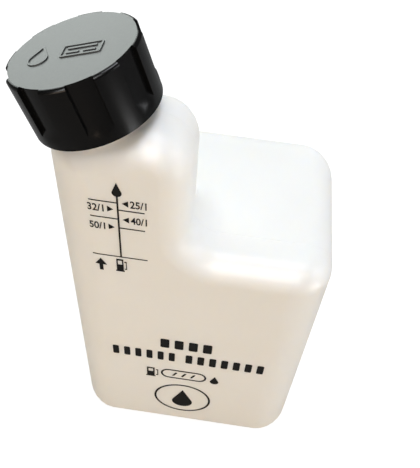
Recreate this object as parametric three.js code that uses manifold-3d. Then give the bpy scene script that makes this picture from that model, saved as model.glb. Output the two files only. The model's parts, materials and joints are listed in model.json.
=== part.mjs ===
// A one-litre bottle for mixing two-stroke fuel: a blow-moulded translucent bottle with an
// offset measuring column and a tilted threaded neck, closed by a scalloped screw cap with a
// rubber gasket. Millimetres, +Z up, the printed front faces -Y, and the origin lies under the
// middle of the whole, on the surface that it stands on. The parts are first laid out from the
// bottle's front, left, lower corner.
import * as THREE from 'three';
import { mergeVertices } from 'three/addons/utils/BufferGeometryUtils.js';
import Module from 'manifold-3d';

const wasm = await Module();
wasm.setup();

// Bottle body
const bodyWidth = 104;
const bodyDepth = 83;
const bodyHeight = 131;
const wall = 1.6;
const sideRound = 17;
const topRound = 10.5;
const baseRound = 5;
const tightRound = 1;

// Base: a flat standing ring round a shallow push-up, with the pinch-off of the moulding
const standRing = 12;
const pushUp = 3;
const pushUpSlope = 4;
const pushUpRound = 6;
const pinchLength = 50;
const pinchWidth = 1.6;
const pinchHeight = 0.8;

// Measuring column, flush with the front and the left side of the body
const columnWidth = 48.5;
const columnDepth = 37;
const columnRound = 10;
const columnBackRound = 14;
const columnTopRound = 13.5;
const columnCornerRound = 8;
const footRound = 12;

// Neck, tilted to the left in the plane of the front: the middle of its root on the column's top
const neckTilt = 18;
const neckX = 17.4;
const neckY = 18.5;
const neckZ = 179;
const boreDiameter = 21.6;
const neckWall = 2;
const neckRootDepth = 6;
const boreDepth = 8;
const lipRound = 0.6;
const beadBase = 1;
const beadHeight = 2;
const beadReach = 1.8;

// Thread of the neck and of the cap
const pitch = 4;
const threadDepth = 1.3;
const threadRoot = 2.1;
const threadCrest = 0.9;
const threadTurns = 2.5;
const threadTopDrop = 3.2;
const threadFade = 25;
const threadClearance = 0.35;
const flankGap = 0.3;

// Cap
const capDiameter = 42.8;
const capHeight = 21.1;
const capRimGap = 1;
const capTop = 2.2;
const capWall = 1.8;
const capEdgeRound = 1.2;
const lobeCount = 8;
const fluteShare = 0.5;
const fluteDepth = 1.3;
const fluteFloor = 4.2;
const fluteRunOut = 2;
const ringWall = 1.6;
const ringLength = 17.9;
const ribWidth = 1.2;
const ribLength = 10;

// Gasket
const gasketThickness = 1.5;
const gasketLap = 1.2;
const gasketSideGap = 0.4;
const seatGap = 0.3;

// Facets of a quarter turn and of a whole turn, and the depth by which joined shapes bite
const quarterSteps = 8;
const turnSteps = 56;
const bite = 0.4;

// Sizes that follow from the others
const neckRadius = boreDiameter / 2 + neckWall;
const threadRadius = neckRadius + threadDepth;
const ringRadius = threadRadius + threadClearance;
const capRim = beadBase + beadHeight + capRimGap;
const capInside = capRim + capHeight - capTop;
const neckHeight = capInside - gasketThickness - 2 * seatGap;
const skirtRadius = capDiameter / 2 - fluteDepth - capWall;
const columnBase = bodyHeight - 2 * topRound;
const tilt = THREE.MathUtils.degToRad(neckTilt);

// The neck's own space: its axis is the local +Z, from the middle of its root.
const neckSpace = new THREE.Group();
neckSpace.position.set(neckX, neckY, neckZ);
neckSpace.rotation.y = -tilt;
neckSpace.updateMatrix();

// A solid from a geometry, with shared corners merged and its faces turned outwards.
function solidFrom(source) {
  const bare = source.clone();
  bare.deleteAttribute('normal');
  bare.deleteAttribute('uv');
  const merged = mergeVertices(bare, 1e-5);
  const vertProperties = new Float32Array(merged.attributes.position.array);
  const triVerts = new Uint32Array(merged.index.array);
  const corner = (i) => new THREE.Vector3().fromArray(vertProperties, 3 * triVerts[i]);
  let volume = 0;
  for (let i = 0; i < triVerts.length; i += 3) {
    volume += corner(i).dot(corner(i + 1).cross(corner(i + 2)));
  }
  if (volume < 0) {
    triVerts.reverse();
  }
  return new wasm.Manifold(new wasm.Mesh({ numProp: 3, vertProperties, triVerts }));
}

function geometryFrom(solid) {
  const mesh = solid.getMesh();
  const geometry = new THREE.BufferGeometry();
  const positions = Array.from(mesh.vertProperties);
  geometry.setAttribute('position', new THREE.Float32BufferAttribute(positions, 3));
  geometry.setIndex(Array.from(mesh.triVerts));
  geometry.computeVertexNormals();
  return geometry;
}

// Triangles that fill a flat outline, each turned the way the outline itself runs.
function fill(outline) {
  const turn = Math.sign(THREE.ShapeUtils.area(outline));
  return THREE.ShapeUtils.triangulateShape(outline, []).map(([a, b, c]) => {
    const area = THREE.ShapeUtils.area([outline[a], outline[b], outline[c]]);
    return Math.sign(area) === turn ? [a, b, c] : [a, c, b];
  });
}

// A closed solid through a row of rings with equal numbers of points. Each flat end is filled
// with the triangles of the flat outline that its ring was made from.
function loft(rings, firstOutline, lastOutline = firstOutline) {
  const count = rings[0].length;
  const last = (rings.length - 1) * count;
  const triangles = [];
  for (let row = 0; row < last; row += count) {
    for (let i = 0; i < count; i += 1) {
      const a = row + i;
      const b = row + ((i + 1) % count);
      triangles.push(a, b, b + count, a, b + count, a + count);
    }
  }
  for (const [a, b, c] of fill(firstOutline)) {
    triangles.push(a, c, b);
  }
  for (const [a, b, c] of fill(lastOutline)) {
    triangles.push(last + a, last + b, last + c);
  }
  const geometry = new THREE.BufferGeometry();
  const positions = rings.flat().flatMap((point) => point.toArray());
  geometry.setAttribute('position', new THREE.Float32BufferAttribute(positions, 3));
  geometry.setIndex(triangles);
  return solidFrom(geometry);
}

// A solid turned round the Z axis from a profile of radius and height.
function turned(profile, steps = turnSteps) {
  const geometry = new THREE.LatheGeometry(profile, steps);
  geometry.rotateX(Math.PI / 2);
  return geometry;
}

function point(x, y) {
  return new THREE.Vector2(x, y);
}

// Points of an arc from one angle to another, in degrees.
function arc(x, y, radius, from, to, steps = quarterSteps) {
  return Array.from({ length: steps + 1 }, (_, i) => {
    const angle = THREE.MathUtils.degToRad(from + ((to - from) * i) / steps);
    return point(x + radius * Math.cos(angle), y + radius * Math.sin(angle));
  });
}

// How far an edge rounded by this radius has drawn in at a depth below its face.
function drawIn(radius, depth) {
  return depth < radius ? radius - Math.sqrt(radius ** 2 - (radius - depth) ** 2) : 0;
}

// Depths that follow a round edge in even steps of angle.
function roundDepths(radius) {
  return Array.from({ length: quarterSteps + 1 }, (_, i) => (
    radius * (1 - Math.cos((Math.PI / 2) * (i / quarterSteps)))
  ));
}

// A slab behind a flat face: its outline is drawn in round that face, and round the far one if
// farRounds gives radii. An outline takes how far its side, its edge and its base are drawn in.
// The skin lies that far inside every rounded face.
function slab({ outline, place, depth, skin, rounds, farRounds }) {
  const radii = rounds.map((radius) => radius - skin);
  const sections = roundDepths(Math.max(...radii)).map((d) => ({
    at: skin + d,
    insets: radii.map((radius) => skin + drawIn(radius, d)),
  }));
  if (farRounds) {
    const farRadii = farRounds.map((radius) => radius - skin);
    const farSections = roundDepths(Math.max(...farRadii)).map((d) => ({
      at: depth - skin - d,
      insets: farRadii.map((radius) => skin + drawIn(radius, d)),
    }));
    sections.push(...farSections.reverse());
  } else {
    sections.push({ at: depth, insets: radii.map(() => skin) });
  }
  const outlines = sections.map(({ insets }) => outline(...insets));
  const rings = outlines.map((points, i) => points.map((p) => place(p.x, sections[i].at, p.y)));
  return loft(rings, outlines[0], outlines[outlines.length - 1]);
}

const fromFront = (x, depth, z) => new THREE.Vector3(x, depth, z);
const fromLeft = (y, depth, z) => new THREE.Vector3(depth, y, z);

// The body's outline seen from the front.
function bodyOutline(side, edge, base) {
  const top = Math.max(topRound - edge, tightRound);
  const foot = Math.max(baseRound - base, tightRound);
  return [
    ...arc(side + foot, base + foot, foot, 180, 270),
    ...arc(bodyWidth - side - foot, base + foot, foot, 270, 360),
    ...arc(bodyWidth - side - top, bodyHeight - edge - top, top, 0, 90),
    ...arc(side + top, bodyHeight - edge - top, top, 90, 180),
  ];
}

// Height in the front view at which a point lies this far below the slanted top.
function underTop(x, distance) {
  return neckZ + ((x - neckX) * Math.sin(tilt) - distance) / Math.cos(tilt);
}

// The column's outline seen from the front: upright sides and a slanted top under the neck.
function columnOutline(side, edge) {
  const rightRound = Math.max(columnTopRound - edge, tightRound);
  const leftRound = Math.max(columnCornerRound - edge, tightRound);
  const rightX = columnWidth - edge - rightRound;
  const leftX = side + leftRound;
  return [
    point(side, columnBase),
    point(columnWidth - edge, columnBase),
    ...arc(rightX, underTop(rightX, edge + rightRound), rightRound, 0, 90 + neckTilt),
    ...arc(leftX, underTop(leftX, edge + leftRound), leftRound, 90 + neckTilt, 180),
  ];
}

// The hollow fillet at the column's foot, seen along the side that it runs beside.
function footOutline(side, edge, span) {
  const foot = span + footRound;
  return [
    point(span / 2, columnBase),
    point(foot, columnBase),
    ...arc(foot, bodyHeight + footRound, footRound + edge, 270, 180),
    point(span / 2, bodyHeight + footRound),
  ];
}

// The same fillet turned round the column's inner corner.
function footCorner(skin) {
  const reach = columnRound + footRound;
  const profile = [
    point(0, columnBase),
    point(reach, columnBase),
    ...arc(reach, bodyHeight + footRound, footRound + skin, 270, 180),
    point(0, bodyHeight + footRound),
  ];
  const geometry = turned(profile, 4 * quarterSteps);
  geometry.translate(columnWidth - columnRound, columnDepth - columnRound, 0);
  return solidFrom(geometry);
}

// The moulded form: the outer one with no skin, or the hollow inside it at the wall's depth.
function mouldedForm(skin) {
  const rounds = [sideRound, topRound, baseRound];
  const body = slab({
    outline: bodyOutline, place: fromFront, depth: bodyDepth, skin, rounds, farRounds: rounds,
  });
  const column = slab({
    outline: columnOutline, place: fromFront, depth: columnDepth, skin, rounds,
    farRounds: [columnRound, columnBackRound],
  });
  const rightFoot = slab({
    outline: (side, edge) => footOutline(side, edge, columnWidth),
    place: fromFront, depth: columnDepth - columnRound, skin, rounds,
  });
  const backFoot = slab({
    outline: (side, edge) => footOutline(side, edge, columnDepth),
    place: fromLeft, depth: columnWidth - columnRound, skin, rounds: [topRound, topRound],
  });
  return body.add(column).add(rightFoot).add(backFoot).add(footCorner(skin));
}

// The push-up under the base, or the floor over it at the wall's depth.
function pushUpForm(skin) {
  const heights = [-bite, pushUp + skin];
  const outlines = heights.map((height) => {
    const inset = standRing - skin + (pushUpSlope * height) / (pushUp + skin);
    return [
      ...arc(inset + pushUpRound, inset + pushUpRound, pushUpRound, 180, 270),
      ...arc(bodyWidth - inset - pushUpRound, inset + pushUpRound, pushUpRound, 270, 360),
      ...arc(bodyWidth - inset - pushUpRound, bodyDepth - inset - pushUpRound, pushUpRound, 0, 90),
      ...arc(inset + pushUpRound, bodyDepth - inset - pushUpRound, pushUpRound, 90, 180),
    ];
  });
  const rings = outlines.map((points, i) => points.map((p) => new THREE.Vector3(p.x, p.y, heights[i])));
  return loft(rings, outlines[0], outlines[1]);
}

// The ridge where the mould pinched the tube of plastic shut.
function pinchOff() {
  const geometry = new THREE.BoxGeometry(pinchLength, pinchWidth, pinchHeight + bite);
  geometry.translate(bodyWidth / 2, neckY, pushUp + (bite - pinchHeight) / 2);
  return solidFrom(geometry);
}

// A helical ridge from a wall's radius to its crest, fading out at both ends. Its middle line
// starts at the given height on the axis and climbs by the pitch at each turn.
function threadRidge(wallRadius, crestRadius, start) {
  const depth = crestRadius - wallRadius;
  const rootRadius = wallRadius - Math.sign(depth) * bite;
  const steps = Math.round(threadTurns * turnSteps);
  const section = [];
  const rings = Array.from({ length: steps + 1 }, (_, i) => {
    const turn = (threadTurns * i) / steps;
    const toEnd = 360 * Math.min(turn, threadTurns - turn);
    const rise = THREE.MathUtils.smoothstep(toEnd, 0, threadFade);
    const crest = wallRadius + depth * Math.max(rise, 0.05);
    const height = start + pitch * turn;
    section.splice(0, 4,
      point(rootRadius, height - threadRoot / 2),
      point(crest, height - threadCrest / 2),
      point(crest, height + threadCrest / 2),
      point(rootRadius, height + threadRoot / 2));
    const angle = 2 * Math.PI * turn;
    return section.map((p) => new THREE.Vector3(p.x * Math.cos(angle), p.x * Math.sin(angle), p.y));
  });
  return loft(rings, section);
}

const neckThreadStart = neckHeight - threadTopDrop - threadTurns * pitch;

// How far the cap's ridge hangs below the neck's, flank to flank.
function ridgeDrop() {
  const slope = (threadRoot - threadCrest) / threadDepth;
  return threadRoot - (slope * (threadDepth + threadClearance)) / 2 + flankGap;
}

function inNeckSpace(geometry) {
  return geometry.applyMatrix4(neckSpace.matrix);
}

// The neck with its support bead and thread, before the bore is cut.
function neck() {
  const beadRadius = neckRadius + beadReach;
  const profile = [
    point(0, -neckRootDepth),
    point(neckRadius, -neckRootDepth),
    point(neckRadius, beadBase),
    ...arc(beadRadius - beadHeight / 2, beadBase + beadHeight / 2, beadHeight / 2, -90, 90),
    point(neckRadius, beadBase + beadHeight),
    ...arc(neckRadius - lipRound, neckHeight - lipRound, lipRound, 0, 90, 3),
    point(0, neckHeight),
  ];
  const tube = solidFrom(turned(profile));
  const threaded = tube.add(threadRidge(neckRadius, threadRadius, neckThreadStart));
  return solidFrom(inNeckSpace(geometryFrom(threaded)));
}

function bore() {
  const length = boreDepth + neckHeight + bite;
  const geometry = new THREE.CylinderGeometry(boreDiameter / 2, boreDiameter / 2, length, turnSteps);
  geometry.rotateX(Math.PI / 2);
  geometry.translate(0, 0, length / 2 - boreDepth);
  return solidFrom(inNeckSpace(geometry));
}

function bottle() {
  const outside = mouldedForm(0).add(neck()).subtract(pushUpForm(0)).add(pinchOff());
  const hollow = mouldedForm(wall).subtract(pushUpForm(wall)).add(bore());
  return outside.subtract(hollow);
}

// A wedge of the full circle that one flute takes, over the whole height of the cap.
function fluteWedge(index) {
  const middle = (360 * (index + 0.5)) / lobeCount;
  const half = (180 * fluteShare) / lobeCount;
  const shape = new THREE.Shape([point(0, 0), ...arc(0, 0, capDiameter, middle - half, middle + half)]);
  return solidFrom(new THREE.ExtrudeGeometry(shape, { depth: 2 * capHeight, bevelEnabled: false }));
}

// The ring of material that the flutes remove, ending in a sloping ledge above the rim.
function fluteRing() {
  const outer = capDiameter / 2;
  const inner = outer - fluteDepth;
  return solidFrom(turned([
    point(inner, fluteFloor + fluteRunOut),
    point(outer + bite, fluteFloor - (fluteRunOut * bite) / fluteDepth),
    point(outer + bite, capHeight + bite),
    point(inner, capHeight + bite),
    point(inner, fluteFloor + fluteRunOut),
  ]));
}

function capShell() {
  const outer = capDiameter / 2;
  const inside = capHeight - capTop;
  const outside = solidFrom(turned([
    point(0, 0),
    point(outer, 0),
    ...arc(outer - capEdgeRound, capHeight - capEdgeRound, capEdgeRound, 0, 90, 4),
    point(0, capHeight),
  ]));
  const hollow = solidFrom(turned([
    point(0, -bite),
    point(skirtRadius, -bite),
    point(skirtRadius, inside),
    point(0, inside),
  ]));
  const ring = fluteRing();
  let shell = outside.subtract(hollow);
  for (let i = 0; i < lobeCount; i += 1) {
    shell = shell.subtract(ring.intersect(fluteWedge(i)));
  }
  return shell;
}

// The inner ring that carries the cap's thread, measured from the cap's rim.
function threadedRing() {
  const inside = capHeight - capTop;
  const outer = ringRadius + ringWall;
  const tube = solidFrom(turned([
    point(ringRadius, inside - ringLength),
    point(outer, inside - ringLength),
    point(outer, inside + bite),
    point(ringRadius, inside + bite),
    point(ringRadius, inside - ringLength),
  ]));
  const start = neckThreadStart - ridgeDrop() - capRim;
  return tube.add(threadRidge(ringRadius, ringRadius - threadDepth, start));
}

// A rib that stiffens the skirt from the threaded ring, one behind each lobe.
function rib(index) {
  const from = ringRadius + ringWall - bite;
  const to = skirtRadius + bite;
  const geometry = new THREE.BoxGeometry(to - from, ribWidth, ribLength + bite);
  geometry.translate((from + to) / 2, 0, capHeight - capTop - (ribLength - bite) / 2);
  geometry.rotateZ((2 * Math.PI * index) / lobeCount);
  return solidFrom(geometry);
}

function cap() {
  let solid = capShell().add(threadedRing());
  for (let i = 0; i < lobeCount; i += 1) {
    solid = solid.add(rib(i));
  }
  return solid;
}

function gasket() {
  const outer = ringRadius - gasketSideGap;
  const inner = boreDiameter / 2 - gasketLap;
  return solidFrom(turned([
    point(inner, 0),
    point(outer, 0),
    point(outer, gasketThickness),
    point(inner, gasketThickness),
    point(inner, 0),
  ]));
}

function meshOf(name, solid, look) {
  const mesh = new THREE.Mesh(geometryFrom(solid), new THREE.MeshStandardMaterial(look));
  mesh.name = name;
  return mesh;
}

const bottleMesh = meshOf('bottle', bottle(), { color: '#ece8e0', roughness: 0.42, metalness: 0 });
const capMesh = meshOf('cap', cap(), { color: '#17181a', roughness: 0.35, metalness: 0 });
const gasketMesh = meshOf('gasket', gasket(), { color: '#2a2a2b', roughness: 0.8, metalness: 0 });

capMesh.position.z = capRim;
gasketMesh.position.z = neckHeight + seatGap;
neckSpace.add(capMesh, gasketMesh);

const whole = new THREE.Group();
whole.add(bottleMesh, neckSpace);

const box = new THREE.Box3().setFromObject(whole, true);
const middle = box.getCenter(new THREE.Vector3());
whole.position.set(-middle.x, -middle.y, -box.min.z);

export default whole;
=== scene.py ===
import json
from math import acos, cos, pi, radians, sin

import bmesh
import bpy
from mathutils import Matrix, Vector
from mathutils.bvhtree import BVHTree


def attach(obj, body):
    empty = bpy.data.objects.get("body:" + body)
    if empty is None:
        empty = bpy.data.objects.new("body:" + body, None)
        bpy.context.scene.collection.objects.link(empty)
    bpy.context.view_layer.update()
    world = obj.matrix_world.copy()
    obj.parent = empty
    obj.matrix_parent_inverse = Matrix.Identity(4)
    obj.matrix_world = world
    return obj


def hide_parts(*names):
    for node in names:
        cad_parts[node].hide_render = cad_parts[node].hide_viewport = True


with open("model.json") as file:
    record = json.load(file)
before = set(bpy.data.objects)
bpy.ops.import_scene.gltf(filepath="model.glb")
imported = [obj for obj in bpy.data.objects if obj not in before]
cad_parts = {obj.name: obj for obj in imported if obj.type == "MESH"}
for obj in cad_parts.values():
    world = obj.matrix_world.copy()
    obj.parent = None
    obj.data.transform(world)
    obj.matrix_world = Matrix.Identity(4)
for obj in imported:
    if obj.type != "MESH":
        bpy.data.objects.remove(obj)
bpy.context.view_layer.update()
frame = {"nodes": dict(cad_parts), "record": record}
MM = 0.001


# Camera
# The photograph looks down on the bottle's printed front, from a little to its right and with
# the frame turned a few degrees. The place and the lens were solved from the bottle's edges.
CAMERA_PLACE = Vector((0.01653, -0.17239, 0.30316))
CAMERA_AZIMUTH = radians(2.994)
CAMERA_FALL = radians(48.997)
CAMERA_ROLL = radians(5.774)
LENS_MM = 46.39
NEAREST = 0.01


def make_camera():
    forward = Vector((
        -sin(CAMERA_AZIMUTH) * cos(CAMERA_FALL),
        cos(CAMERA_AZIMUTH) * cos(CAMERA_FALL),
        -sin(CAMERA_FALL),
    ))
    level = Vector((cos(CAMERA_AZIMUTH), sin(CAMERA_AZIMUTH), 0))
    upright = level.cross(forward)
    across = cos(CAMERA_ROLL) * level + sin(CAMERA_ROLL) * upright
    up = cos(CAMERA_ROLL) * upright - sin(CAMERA_ROLL) * level
    camera = bpy.data.objects.new("camera", bpy.data.cameras.new("camera"))
    camera.data.lens = LENS_MM
    camera.data.clip_start = NEAREST
    turned = Matrix((across, up, -forward)).transposed().to_4x4()
    camera.matrix_world = Matrix.Translation(CAMERA_PLACE) @ turned
    bpy.context.scene.collection.objects.link(camera)
    bpy.context.scene.camera = camera


make_camera()
bpy.context.scene.view_settings.view_transform = "Standard"


# Floor and backdrop
# White paper without a seam. It is white to the lens and keeps a faint shadow where the
# bottle stands. Gloss shows it dark, so that the black cap stays black.
FLOOR_SIDE = 6.0
FLOOR_GLOW = 0.90
FLOOR_GLOW_IN_GLOSS = 0.06
FLOOR_SHADE = "#7C7C7C"
PAPER_WHITE = "#EFE3D0"


def linear(hex_colour):
    """The linear colour of an sRGB hex value, with an alpha of one."""
    channels = [int(hex_colour[i:i + 2], 16) / 255 for i in (1, 3, 5)]
    return tuple(c / 12.92 if c <= 0.04045 else ((c + 0.055) / 1.055) ** 2.4 for c in channels) + (1,)


def add(tree, kind, settings=None, **links):
    """Adds a node. Settings are its attributes or input values, links feed its named inputs."""
    node = tree.nodes.new(kind)
    for name, value in (settings or {}).items():
        if isinstance(name, int):
            node.inputs[name].default_value = value
        elif name in node.inputs:
            node.inputs[name].default_value = value
        else:
            setattr(node, name, value)
    for name, output in links.items():
        socket = int(name[1:]) if name[0] == "i" and name[1:].isdigit() else name.replace("_", " ")
        tree.links.new(output, node.inputs[socket])
    return node


def new_material(name):
    material = bpy.data.materials.new(name)
    material.use_nodes = True
    material.node_tree.nodes.clear()
    return material, material.node_tree


def paper_material():
    material, tree = new_material("white_paper")
    path = add(tree, "ShaderNodeLightPath")
    seen = add(tree, "ShaderNodeMath", {"operation": "MAXIMUM"},
               i0=path.outputs["Is Camera Ray"], i1=path.outputs["Is Glossy Ray"])
    seen = add(tree, "ShaderNodeMath", {"operation": "MAXIMUM"},
               i0=seen.outputs[0], i1=path.outputs["Is Transmission Ray"])
    bounce = add(tree, "ShaderNodeBsdfDiffuse", {"Color": linear(PAPER_WHITE)})
    shade = add(tree, "ShaderNodeBsdfDiffuse", {"Color": linear(FLOOR_SHADE)})
    strength = add(tree, "ShaderNodeMapRange", {"To Min": FLOOR_GLOW, "To Max": FLOOR_GLOW_IN_GLOSS},
                   Value=path.outputs["Is Glossy Ray"])
    glow = add(tree, "ShaderNodeEmission", {"Color": (1, 1, 1, 1)}, Strength=strength.outputs[0])
    lit = add(tree, "ShaderNodeAddShader", i0=shade.outputs[0], i1=glow.outputs[0])
    mixed = add(tree, "ShaderNodeMixShader", i0=seen.outputs[0], i1=bounce.outputs[0], i2=lit.outputs[0])
    add(tree, "ShaderNodeOutputMaterial", Surface=mixed.outputs[0])
    return material


def make_floor():
    mesh = bpy.data.meshes.new("floor")
    shape = bmesh.new()
    bmesh.ops.create_grid(shape, x_segments=1, y_segments=1, size=FLOOR_SIDE / 2)
    shape.to_mesh(mesh)
    shape.free()
    mesh.materials.append(paper_material())
    floor = bpy.data.objects.new("floor", mesh)
    bpy.context.scene.collection.objects.link(floor)


make_floor()


# Light
# Soft daylight all round, a softbox overhead, one behind on the left that the cap's matt top
# catches, one on the right and a warm fill in front. Two cards show in gloss only.
# Each row holds the name, the place, the aim, the side in metres, the power and the colour.
WORLD_STRENGTH = 0.40
WORLD_IN_GLOSS = 0.10
LAMPS = (
    ("overhead", (0.10, 0.10, 0.95), (0.0, 0.0, 0.12), 0.30, 3.8, "#F5F7FF"),
    ("behind_left", (-0.62, 0.75, 0.62), (-0.02, 0.0, 0.18), 0.80, 7.2, "#F7FFFB"),
    ("right_side", (0.90, -0.05, 0.45), (0.0, 0.0, 0.12), 0.50, 3.3, "#F8FAFF"),
    ("front_fill", (-0.16, -0.90, 0.14), (0.0, 0.0, 0.14), 0.60, 4.1, "#FFE7CE"),
)
CARDS = (
    ("low_card", (0.30, -0.13, 0.03), (-0.03, -0.02, 0.19), 0.10, 0.35, "#FFFFFF"),
    ("edge_card", (-0.10, -0.75, 0.95), (-0.03, -0.02, 0.19), 1.00, 30.0, "#FFFFFF"),
)


def make_world():
    world = bpy.data.worlds.new("daylight")
    world.use_nodes = True
    tree = world.node_tree
    tree.nodes.clear()
    path = add(tree, "ShaderNodeLightPath")
    seen = add(tree, "ShaderNodeMath", {"operation": "MAXIMUM"},
               i0=path.outputs["Is Camera Ray"], i1=path.outputs["Is Transmission Ray"])
    even = add(tree, "ShaderNodeMapRange", {"To Min": WORLD_STRENGTH, "To Max": WORLD_IN_GLOSS},
               Value=path.outputs["Is Glossy Ray"])
    strength = add(tree, "ShaderNodeMapRange", {"To Max": 1.0},
                   Value=seen.outputs[0], To_Min=even.outputs[0])
    sky = add(tree, "ShaderNodeBackground", {"Color": (1, 1, 1, 1)}, Strength=strength.outputs[0])
    add(tree, "ShaderNodeOutputWorld", Surface=sky.outputs[0])
    bpy.context.scene.world = world


def make_lamp(name, place, target, side, power, colour):
    lamp = bpy.data.objects.new(name, bpy.data.lights.new(name, "AREA"))
    lamp.data.size = side
    lamp.data.energy = power
    lamp.data.color = linear(colour)[:3]
    lamp.location = place
    lamp.rotation_euler = (Vector(target) - Vector(place)).to_track_quat("-Z", "Y").to_euler()
    bpy.context.scene.collection.objects.link(lamp)
    return lamp


make_world()
for settings in LAMPS:
    make_lamp(*settings)
for settings in CARDS:
    card = make_lamp(*settings)
    card.visible_camera = False
    card.visible_diffuse = False


# Bottle
# One blow-moulded piece of natural high-density polyethylene. The skin is milky and lets light
# through, and it took the faint grain and the parting line of its mould. The grain is drawn
# coarser than the real one, so that it shows.
BOTTLE_MILK = "#F2F0EB"
BOTTLE_WARM = "#EDE9E0"
BOTTLE_IOR = 1.54
BOTTLE_ROUGHNESS = (0.36, 0.46)
MILK_SCATTER = 0.55
MILK_SCATTER_RADIUS = (1.0, 0.82, 0.62)
MILK_SCATTER_SCALE = 6 * MM
WAVE_SIZE = 38 * MM
WAVE_STRENGTH = 0.10
WAVE_DEPTH = 0.6 * MM
GRAIN_SIZE = 0.9 * MM
GRAIN_STRENGTH = 0.05
GRAIN_DEPTH = 0.1 * MM
turn = next(joint for joint in frame["record"]["behaviour"]["joints"] if joint["name"] == "cap_turn")
SEAM_Y = turn["pos_m"][1]
SEAM_HALF = 0.35 * MM
SEAM_STRENGTH = 0.6
SEAM_DEPTH = 0.2 * MM
MERGE_GAP = 0.002 * MM
SLIVER_GAP = 0.005 * MM
FLAT_ANGLE = radians(0.4)
CREASE_ANGLE = radians(35)


def smooth_copy(node_name, name):
    """A copy of a solid with its corners merged and its flat faces whole, shaded smooth."""
    mesh = bpy.data.meshes.new(name)
    shape = bmesh.new()
    shape.from_mesh(frame["nodes"][node_name].data)
    bmesh.ops.remove_doubles(shape, verts=shape.verts, dist=MERGE_GAP)
    bmesh.ops.dissolve_degenerate(shape, dist=SLIVER_GAP, edges=shape.edges)
    bmesh.ops.dissolve_limit(shape, angle_limit=FLAT_ANGLE, verts=shape.verts, edges=shape.edges)
    for face in shape.faces:
        face.smooth = True
    for edge in shape.edges:
        edge.smooth = len(edge.link_faces) == 2 and edge.calc_face_angle(0) < CREASE_ANGLE
    shape.to_mesh(mesh)
    shape.free()
    piece = bpy.data.objects.new(name, mesh)
    bpy.context.scene.collection.objects.link(piece)
    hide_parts(node_name)
    return piece


def weigh_normals(piece):
    weighted = piece.modifiers.new("weighted_normals", "WEIGHTED_NORMAL")
    weighted.keep_sharp = True
    weighted.weight = 100


def blown_polyethylene():
    material, tree = new_material("blown_polyethylene")
    place = add(tree, "ShaderNodeTexCoord").outputs["Object"]
    waves = add(tree, "ShaderNodeTexNoise", {"Scale": 1 / WAVE_SIZE, "Detail": 1.5}, Vector=place)
    grain = add(tree, "ShaderNodeTexNoise", {"Scale": 1 / GRAIN_SIZE, "Detail": 2.0}, Vector=place)
    colour = add(tree, "ShaderNodeMix", {
        "data_type": "RGBA", 6: linear(BOTTLE_MILK), 7: linear(BOTTLE_WARM),
    }, Factor=waves.outputs["Fac"])
    matt = add(tree, "ShaderNodeMapRange", {
        "To Min": BOTTLE_ROUGHNESS[0], "To Max": BOTTLE_ROUGHNESS[1],
    }, Value=grain.outputs["Fac"])
    swell = add(tree, "ShaderNodeBump", {"Strength": WAVE_STRENGTH, "Distance": WAVE_DEPTH},
                Height=waves.outputs["Fac"])
    skin = add(tree, "ShaderNodeBump", {"Strength": GRAIN_STRENGTH, "Distance": GRAIN_DEPTH},
               Height=grain.outputs["Fac"], Normal=swell.outputs["Normal"])
    across = add(tree, "ShaderNodeSeparateXYZ", i0=place)
    aside = add(tree, "ShaderNodeMath", {"operation": "SUBTRACT", 1: SEAM_Y}, i0=across.outputs["Y"])
    aside = add(tree, "ShaderNodeMath", {"operation": "ABSOLUTE"}, i0=aside.outputs[0])
    seam = add(tree, "ShaderNodeMapRange", {
        "interpolation_type": "SMOOTHSTEP", "From Max": SEAM_HALF, "To Min": 1.0, "To Max": 0.0,
    }, Value=aside.outputs[0])
    parted = add(tree, "ShaderNodeBump", {"Strength": SEAM_STRENGTH, "Distance": SEAM_DEPTH},
                 Height=seam.outputs[0], Normal=skin.outputs["Normal"])
    plastic = add(tree, "ShaderNodeBsdfPrincipled", {
        "IOR": BOTTLE_IOR, "Subsurface Weight": MILK_SCATTER,
        "Subsurface Radius": MILK_SCATTER_RADIUS, "Subsurface Scale": MILK_SCATTER_SCALE,
    }, Base_Color=colour.outputs[2], Roughness=matt.outputs[0], Normal=parted.outputs["Normal"])
    add(tree, "ShaderNodeOutputMaterial", Surface=plastic.outputs[0])
    return material


bottle = smooth_copy("bottle", "bottle_skin")
bottle.data.materials.append(blown_polyethylene())
weigh_normals(bottle)
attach(bottle, "bottle")


# Print
# The scale and the signs are pad-printed on the flat front in one dull black ink: numbers with
# their lines on the column, and plain blocks, two signs and a ringed drop on the body. Places
# are in mm from the body's left side and the floor. The ink's grain is drawn coarse to show.
INK_BLACK = "#0C0B0A"
INK_IOR = 1.48
INK_SHINE = 0.2
INK_ROUGHNESS = (0.50, 0.64)
INK_GRAIN = 0.5 * MM
INK_LIFT = 0.05 * MM
INK_DEPTH = 0.08 * MM
INK_STEP = 1.0 * MM
RAY_START = -1.0
LINE = 0.5
STEM = 0.64
SCALE_X = 25.3
SCALE_TOP = 162.6
FUEL_Z = 131.4
MARK_LEFT = 15.6
MARK_RIGHT = 34.3
MARKS = (
    ("25/1", 159.5, -1), ("32/1", 156.2, 1), ("40/1", 151.7, -1), ("50/1", 147.3, 1),
)
NUMBER_SIZE = (5.5, 3.4)
NUMBER_LEFT = {1: 15.0, -1: 29.5}
NUMBER_WEIGHT = 0.016
POINTER_SIZE = (2.1, 2.8)
POINTER_GAP = 1.5
FUEL_OVERHANG = 0.7
SCALE_DROP = (25.3, 162.4, 3.3, 6.2)
SCALE_ARROW = (
    (17.6, 129.2), (15.4, 125.6), (16.9, 125.6), (16.9, 122.2),
    (18.3, 122.2), (18.3, 125.6), (19.8, 125.6),
)
SCALE_PUMP = (23.4, 122.7, 2.6, 7.3)
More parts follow.
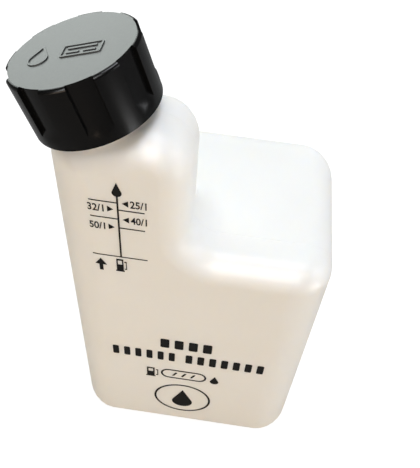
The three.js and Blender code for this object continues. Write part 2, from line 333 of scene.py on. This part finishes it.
PUMP_BARS = (
    (-1.2, 0, 11.2, 1.6), (0, 1.6, 10, 9), (0, 9, 2, 14), (8, 9, 10, 14), (0, 14, 10, 16),
    (11.6, 3, 14.6, 4.2), (13.4, 4.2, 14.6, 12), (11.4, 12, 14.6, 13.4),
)
PUMP_FIELD = (10, 16)
BLOCK_HEIGHT = 7.0
BLOCK_ROUND = 0.7
BLOCK_ROWS = ((72.2, 39.9, 62.3, 4), (61.2, 18.6, 46.4, 6), (61.2, 51.2, 86.0, 7))
BLOCK_GAP = 2.3
SIGN_PUMP = (33.7, 44.6, 3.6, 8.2)
LONG_RING = (40.2, 45.4, 61.4, 53.4, 3.9)
LONG_RING_STROKE = 0.9
SLANTS = (45.4, 49.6, 53.8)
SLANT_LOW = 47.8
SLANT_HIGH = 51.0
SLANT_WIDTH = 1.0
SLANT_LEAN = 1.6
SIGN_DROP = (65.2, 45.4, 4.0, 6.8)
RING = (50.9, 26.1, 13.8, 1.0)
RING_DROP = (50.9, 17.5, 10.0, 17.0)


def ink_face(shape, points):
    return shape.faces.new([shape.verts.new((x * MM, 0, z * MM)) for x, z in points])


def ink_bar(shape, left, low, right, high):
    ink_face(shape, ((left, low), (right, low), (right, high), (left, high)))


def drop_outline(x, low, width, height, steps=20):
    """A drop with its point upwards: an arc closed by the two tangents from the point."""
    radius = width / 2
    half = acos(radius / (height - radius))
    turn = [pi / 2 + half + (2 * pi - 2 * half) * i / steps for i in range(steps + 1)]
    points = [(x + radius * cos(a), low + radius + radius * sin(a)) for a in turn]
    return points + [(x, low + height)]


def ink_drop(shape, x, low, width, height):
    ink_face(shape, drop_outline(x, low, width, height))


def ink_pointer(shape, tip_x, z, way):
    """A small triangle; way is 1 where it points to the right and -1 to the left."""
    back = tip_x - way * POINTER_SIZE[0]
    half = POINTER_SIZE[1] / 2
    points = [(tip_x, z), (back, z + way * half), (back, z - way * half)]
    ink_face(shape, points)


def ink_band(shape, outer, inner):
    """The field between two closed outlines with equal numbers of points."""
    rows = [[shape.verts.new((x * MM, 0, z * MM)) for x, z in row] for row in (outer, inner)]
    edges = [shape.edges.new((row[i - 1], row[i])) for row in rows for i in range(len(row))]
    bmesh.ops.bridge_loops(shape, edges=edges)


def round_box(left, low, right, high, radius, steps=6):
    corners = ((right - radius, high - radius), (left + radius, high - radius),
               (left + radius, low + radius), (right - radius, low + radius))
    return [(x + radius * cos(a), z + radius * sin(a))
            for k, (x, z) in enumerate(corners)
            for a in [(k + i / steps) * pi / 2 for i in range(steps + 1)]]


def circle(x, z, radius, steps=64):
    turns = [2 * pi * i / steps for i in range(steps)]
    return [(x + radius * cos(a), z + radius * sin(a)) for a in turns]


def ink_number(shape, words, left, low):
    """A number in a plain face, drawn to its printed width and height."""
    curve = bpy.data.curves.new("number", "FONT")
    curve.body = words
    curve.offset = NUMBER_WEIGHT
    letters = bpy.data.objects.new("number", curve)
    bpy.context.scene.collection.objects.link(letters)
    drawn = letters.evaluated_get(bpy.context.evaluated_depsgraph_get())
    mesh = bpy.data.meshes.new_from_object(drawn)
    bpy.data.objects.remove(letters)
    first = len(shape.verts)
    shape.from_mesh(mesh)
    shape.verts.ensure_lookup_table()
    added = shape.verts[first:]
    start = [min(vert.co[k] for vert in added) for k in (0, 1)]
    end = [max(vert.co[k] for vert in added) for k in (0, 1)]
    for vert in added:
        across, up = [(vert.co[k] - start[k]) / (end[k] - start[k]) for k in (0, 1)]
        x = left + across * NUMBER_SIZE[0]
        z = low + up * NUMBER_SIZE[1]
        vert.co = Vector((x * MM, 0, z * MM))


def ink_pump(shape, left, low, width, height):
    """A fuel pump as a plain sign, from bars on a field of ten by sixteen."""
    across = width / PUMP_FIELD[0]
    up = height / PUMP_FIELD[1]
    for bar in PUMP_BARS:
        ink_bar(shape, left + bar[0] * across, low + bar[1] * up,
                left + bar[2] * across, low + bar[3] * up)


def ink_scale(shape):
    """The stem with its marks. Each has its number, its height and the way its pointer goes."""
    ink_drop(shape, *SCALE_DROP)
    ink_bar(shape, SCALE_X - STEM / 2, FUEL_Z, SCALE_X + STEM / 2, SCALE_TOP)
    ink_bar(shape, MARK_LEFT - FUEL_OVERHANG, FUEL_Z - LINE / 2,
            MARK_RIGHT + FUEL_OVERHANG, FUEL_Z + LINE / 2)
    for words, z, side in MARKS:
        ends = (SCALE_X, MARK_RIGHT) if side > 0 else (MARK_LEFT, SCALE_X)
        ink_bar(shape, ends[0], z - LINE / 2, ends[1], z + LINE / 2)
        ink_pointer(shape, SCALE_X - side * POINTER_GAP, z, side)
        ink_number(shape, words, NUMBER_LEFT[side], z - NUMBER_SIZE[1] / 2)


def ink_signs(shape):
    """The signs and the rows of blocks. Each row has its low edge, its two ends and its count."""
    ink_face(shape, SCALE_ARROW)
    ink_pump(shape, *SCALE_PUMP)
    for low, left, right, count in BLOCK_ROWS:
        pitch = (right - left + BLOCK_GAP) / count
        for i in range(count):
            start = left + i * pitch
            end = start + pitch - BLOCK_GAP
            ink_face(shape, round_box(start, low, end, low + BLOCK_HEIGHT, BLOCK_ROUND))
    ink_pump(shape, *SIGN_PUMP)
    left, low, right, high, radius = LONG_RING
    stroke = LONG_RING_STROKE
    inside = round_box(left + stroke, low + stroke, right - stroke, high - stroke, radius - stroke)
    ink_band(shape, round_box(*LONG_RING), inside)
    for x in SLANTS:
        ink_face(shape, (
            (x, SLANT_LOW), (x + SLANT_WIDTH, SLANT_LOW),
            (x + SLANT_WIDTH + SLANT_LEAN, SLANT_HIGH), (x + SLANT_LEAN, SLANT_HIGH),
        ))
    ink_drop(shape, *SIGN_DROP)
    x, z, radius, stroke = RING
    ink_band(shape, circle(x, z, radius), circle(x, z, radius - stroke))
    ink_drop(shape, *RING_DROP)


def lay_ink(shape, name):
    """Lays the flat shapes on the bottle's front, as a thin closed layer that follows it."""
    wall = frame["nodes"]["bottle"].data
    left = min(v.co.x for v in wall.vertices if v.co.z < FUEL_Z * MM)
    bmesh.ops.translate(shape, vec=(left, 0, 0), verts=shape.verts)
    high = max(v.co.x for v in shape.verts)
    cut = min(v.co.x for v in shape.verts)
    while cut < high:
        cut += INK_STEP
        everything = shape.verts[:] + shape.edges[:] + shape.faces[:]
        bmesh.ops.bisect_plane(shape, geom=everything, plane_co=(cut, 0, 0), plane_no=(1, 0, 0))
    bmesh.ops.triangulate(shape, faces=shape.faces)
    skin = BVHTree.FromPolygons([v.co for v in wall.vertices], [p.vertices for p in wall.polygons])
    for vert in shape.verts:
        place, normal, _, _ = skin.ray_cast(Vector((vert.co.x, RAY_START, vert.co.z)), Vector((0, 1, 0)))
        vert.co = place + normal * INK_LIFT
    for face in shape.faces:
        if face.normal.y > 0:
            face.normal_flip()
    shape.normal_update()
    back = bmesh.ops.extrude_face_region(shape, geom=shape.faces[:], use_keep_orig=True)
    deep = [item for item in back["geom"] if isinstance(item, bmesh.types.BMVert)]
    bmesh.ops.translate(shape, vec=(0, INK_DEPTH, 0), verts=deep)
    bmesh.ops.recalc_face_normals(shape, faces=shape.faces)
    mesh = bpy.data.meshes.new(name)
    shape.to_mesh(mesh)
    shape.free()
    piece = bpy.data.objects.new(name, mesh)
    bpy.context.scene.collection.objects.link(piece)
    return piece


def pad_printing_ink():
    material, tree = new_material("pad_printing_ink")
    place = add(tree, "ShaderNodeTexCoord").outputs["Object"]
    grain = add(tree, "ShaderNodeTexNoise", {"Scale": 1 / INK_GRAIN, "Detail": 2.0}, Vector=place)
    matt = add(tree, "ShaderNodeMapRange", {"To Min": INK_ROUGHNESS[0], "To Max": INK_ROUGHNESS[1]},
               Value=grain.outputs["Fac"])
    ink = add(tree, "ShaderNodeBsdfPrincipled", {
        "Base Color": linear(INK_BLACK), "IOR": INK_IOR, "Specular IOR Level": INK_SHINE,
    }, Roughness=matt.outputs[0])
    add(tree, "ShaderNodeOutputMaterial", Surface=ink.outputs[0])
    return material


ink_material = pad_printing_ink()
for ink_name, draw in (("scale_print", ink_scale), ("sign_print", ink_signs)):
    ink_shape = bmesh.new()
    draw(ink_shape)
    ink = lay_ink(ink_shape, ink_name)
    ink.data.materials.append(ink_material)
    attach(ink, "bottle")


# Cap
# One injection-moulded piece of black polypropylene: polished sides with eight flutes for the
# fingers, and a top face that the grain of its tool makes matt. Its grey is partly the light from
# behind and partly painted sheen: the top gets a lighter grey colour and a stronger gloss than the
# sides. The grain is drawn coarser than the real one, so that it shows.
CAP_BLACK = "#0A0A0A"
# Painted sheen: the top's colour is a lighter grey than the sides' black, standing in for glare.
CAP_TOP_SHEEN_GREY = "#2A2C2B"
CAP_IOR = 1.49
CAP_GRAIN = 0.6 * MM
CAP_GRAIN_DEPTH = 0.05 * MM
CAP_SIDE_ROUGHNESS = (0.16, 0.26)
CAP_SIDE_SHINE = 0.22
CAP_SIDE_GRAIN = 0.08
CAP_TOP_ROUGHNESS = (0.36, 0.46)
CAP_TOP_SHINE = 0.9
CAP_TOP_GRAIN = 0.25
CAP_TOP_SLACK = 0.02 * MM
CAP_EDGE = 0.35 * MM
CAP_EDGE_ANGLE = radians(40)


def moulded_polypropylene(name, colour, roughness, shine, bump):
    material, tree = new_material(name)
    place = add(tree, "ShaderNodeTexCoord").outputs["Object"]
    grain = add(tree, "ShaderNodeTexNoise", {"Scale": 1 / CAP_GRAIN, "Detail": 3.0}, Vector=place)
    matt = add(tree, "ShaderNodeMapRange", {"To Min": roughness[0], "To Max": roughness[1]},
               Value=grain.outputs["Fac"])
    skin = add(tree, "ShaderNodeBump", {"Strength": bump, "Distance": CAP_GRAIN_DEPTH},
               Height=grain.outputs["Fac"])
    plastic = add(tree, "ShaderNodeBsdfPrincipled", {
        "Base Color": linear(colour), "IOR": CAP_IOR, "Specular IOR Level": shine,
    }, Roughness=matt.outputs[0], Normal=skin.outputs["Normal"])
    add(tree, "ShaderNodeOutputMaterial", Surface=plastic.outputs[0])
    return material


cap = smooth_copy("cap", "cap_body")
cap.data.materials.append(moulded_polypropylene(
    "polished_polypropylene", CAP_BLACK, CAP_SIDE_ROUGHNESS, CAP_SIDE_SHINE, CAP_SIDE_GRAIN))
cap.data.materials.append(moulded_polypropylene(
    "grained_polypropylene_painted_sheen", CAP_TOP_SHEEN_GREY, CAP_TOP_ROUGHNESS, CAP_TOP_SHINE, CAP_TOP_GRAIN))
cap_axis = Vector(turn["axis"])
cap_top = max(cap_axis.dot(vert.co) for vert in cap.data.vertices)
# The faces of the top take the lighter material with the painted sheen.
for face in cap.data.polygons:
    if cap_axis.dot(face.center) > cap_top - CAP_TOP_SLACK:
        face.material_index = 1
edge = cap.modifiers.new("moulded_edges", "BEVEL")
edge.limit_method = "ANGLE"
edge.angle_limit = CAP_EDGE_ANGLE
edge.width = CAP_EDGE
edge.segments = 2
edge.use_clamp_overlap = True
weigh_normals(cap)
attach(cap, "cap")


# Cap sign
# The raised sign on the cap's top, moulded with the cap in the same plastic: a drop in outline
# and a framed field with three bars. Places on the top are in mm from its middle.
RELIEF_RISE = 0.35 * MM
RELIEF_SINK = 0.05 * MM
RELIEF_STROKE = 0.6
RELIEF_DROP = (-10.0, -6.8, 6.6, 10.4)
RELIEF_FRAME = (-2.8, -4.6, 10.4, 1.6, 0.8)
RELIEF_BARS = ((-0.9, -3.0, 3.2, -2.2), (4.6, -3.0, 8.5, -2.2), (-0.9, -0.8, 8.5, 0.0))


def cap_sign():
    shape = bmesh.new()
    x, base, width, height = RELIEF_DROP
    share = 1 - 2 * RELIEF_STROKE / width
    inner = drop_outline(x, base + RELIEF_STROKE, width * share, height * share)
    ink_band(shape, drop_outline(x, base, width, height), inner)
    left, base, right, top, radius = RELIEF_FRAME
    stroke = RELIEF_STROKE
    inside = round_box(left + stroke, base + stroke, right - stroke, top - stroke, radius - stroke)
    ink_band(shape, round_box(*RELIEF_FRAME), inside)
    for bar in RELIEF_BARS:
        ink_bar(shape, *bar)
    front = bmesh.ops.extrude_face_region(shape, geom=shape.faces[:], use_keep_orig=True)
    raised = [item for item in front["geom"] if isinstance(item, bmesh.types.BMVert)]
    bmesh.ops.translate(shape, vec=(0, RELIEF_RISE + RELIEF_SINK, 0), verts=raised)
    away = Vector((0, 1, 0))
    pivot = Vector(turn["pos_m"])
    middle = pivot + cap_axis * (cap_top - cap_axis.dot(pivot) - RELIEF_SINK)
    turned = Matrix((away.cross(cap_axis), cap_axis, away)).transposed().to_4x4()
    bmesh.ops.transform(shape, matrix=Matrix.Translation(middle) @ turned, verts=shape.verts)
    bmesh.ops.recalc_face_normals(shape, faces=shape.faces)
    mesh = bpy.data.meshes.new("cap_sign")
    shape.to_mesh(mesh)
    shape.free()
    sign = bpy.data.objects.new("cap_sign", mesh)
    bpy.context.scene.collection.objects.link(sign)
    return sign


sign = cap_sign()
# The sign takes the top's material, with its painted sheen.
sign.data.materials.append(cap.data.materials[1])
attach(sign, "cap")


# Gasket
# A flat washer cut from black nitrile rubber sheet, pressed between the cap and the neck's lip.
# It is dull, with a grain that is drawn coarser than the real one.
RUBBER_BLACK = "#1C1C1D"
RUBBER_IOR = 1.52
RUBBER_ROUGHNESS = 0.75
RUBBER_GRAIN = 0.4 * MM
RUBBER_GRAIN_STRENGTH = 0.3
RUBBER_GRAIN_DEPTH = 0.05 * MM


def nitrile_rubber():
    material, tree = new_material("nitrile_rubber")
    place = add(tree, "ShaderNodeTexCoord").outputs["Object"]
    grain = add(tree, "ShaderNodeTexNoise", {"Scale": 1 / RUBBER_GRAIN, "Detail": 2.0}, Vector=place)
    skin = add(tree, "ShaderNodeBump", {
        "Strength": RUBBER_GRAIN_STRENGTH, "Distance": RUBBER_GRAIN_DEPTH,
    }, Height=grain.outputs["Fac"])
    rubber = add(tree, "ShaderNodeBsdfPrincipled", {
        "Base Color": linear(RUBBER_BLACK), "IOR": RUBBER_IOR, "Roughness": RUBBER_ROUGHNESS,
    }, Normal=skin.outputs["Normal"])
    add(tree, "ShaderNodeOutputMaterial", Surface=rubber.outputs[0])
    return material


gasket = smooth_copy("gasket", "gasket_ring")
gasket.data.materials.append(nitrile_rubber())
weigh_normals(gasket)
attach(gasket, "gasket")
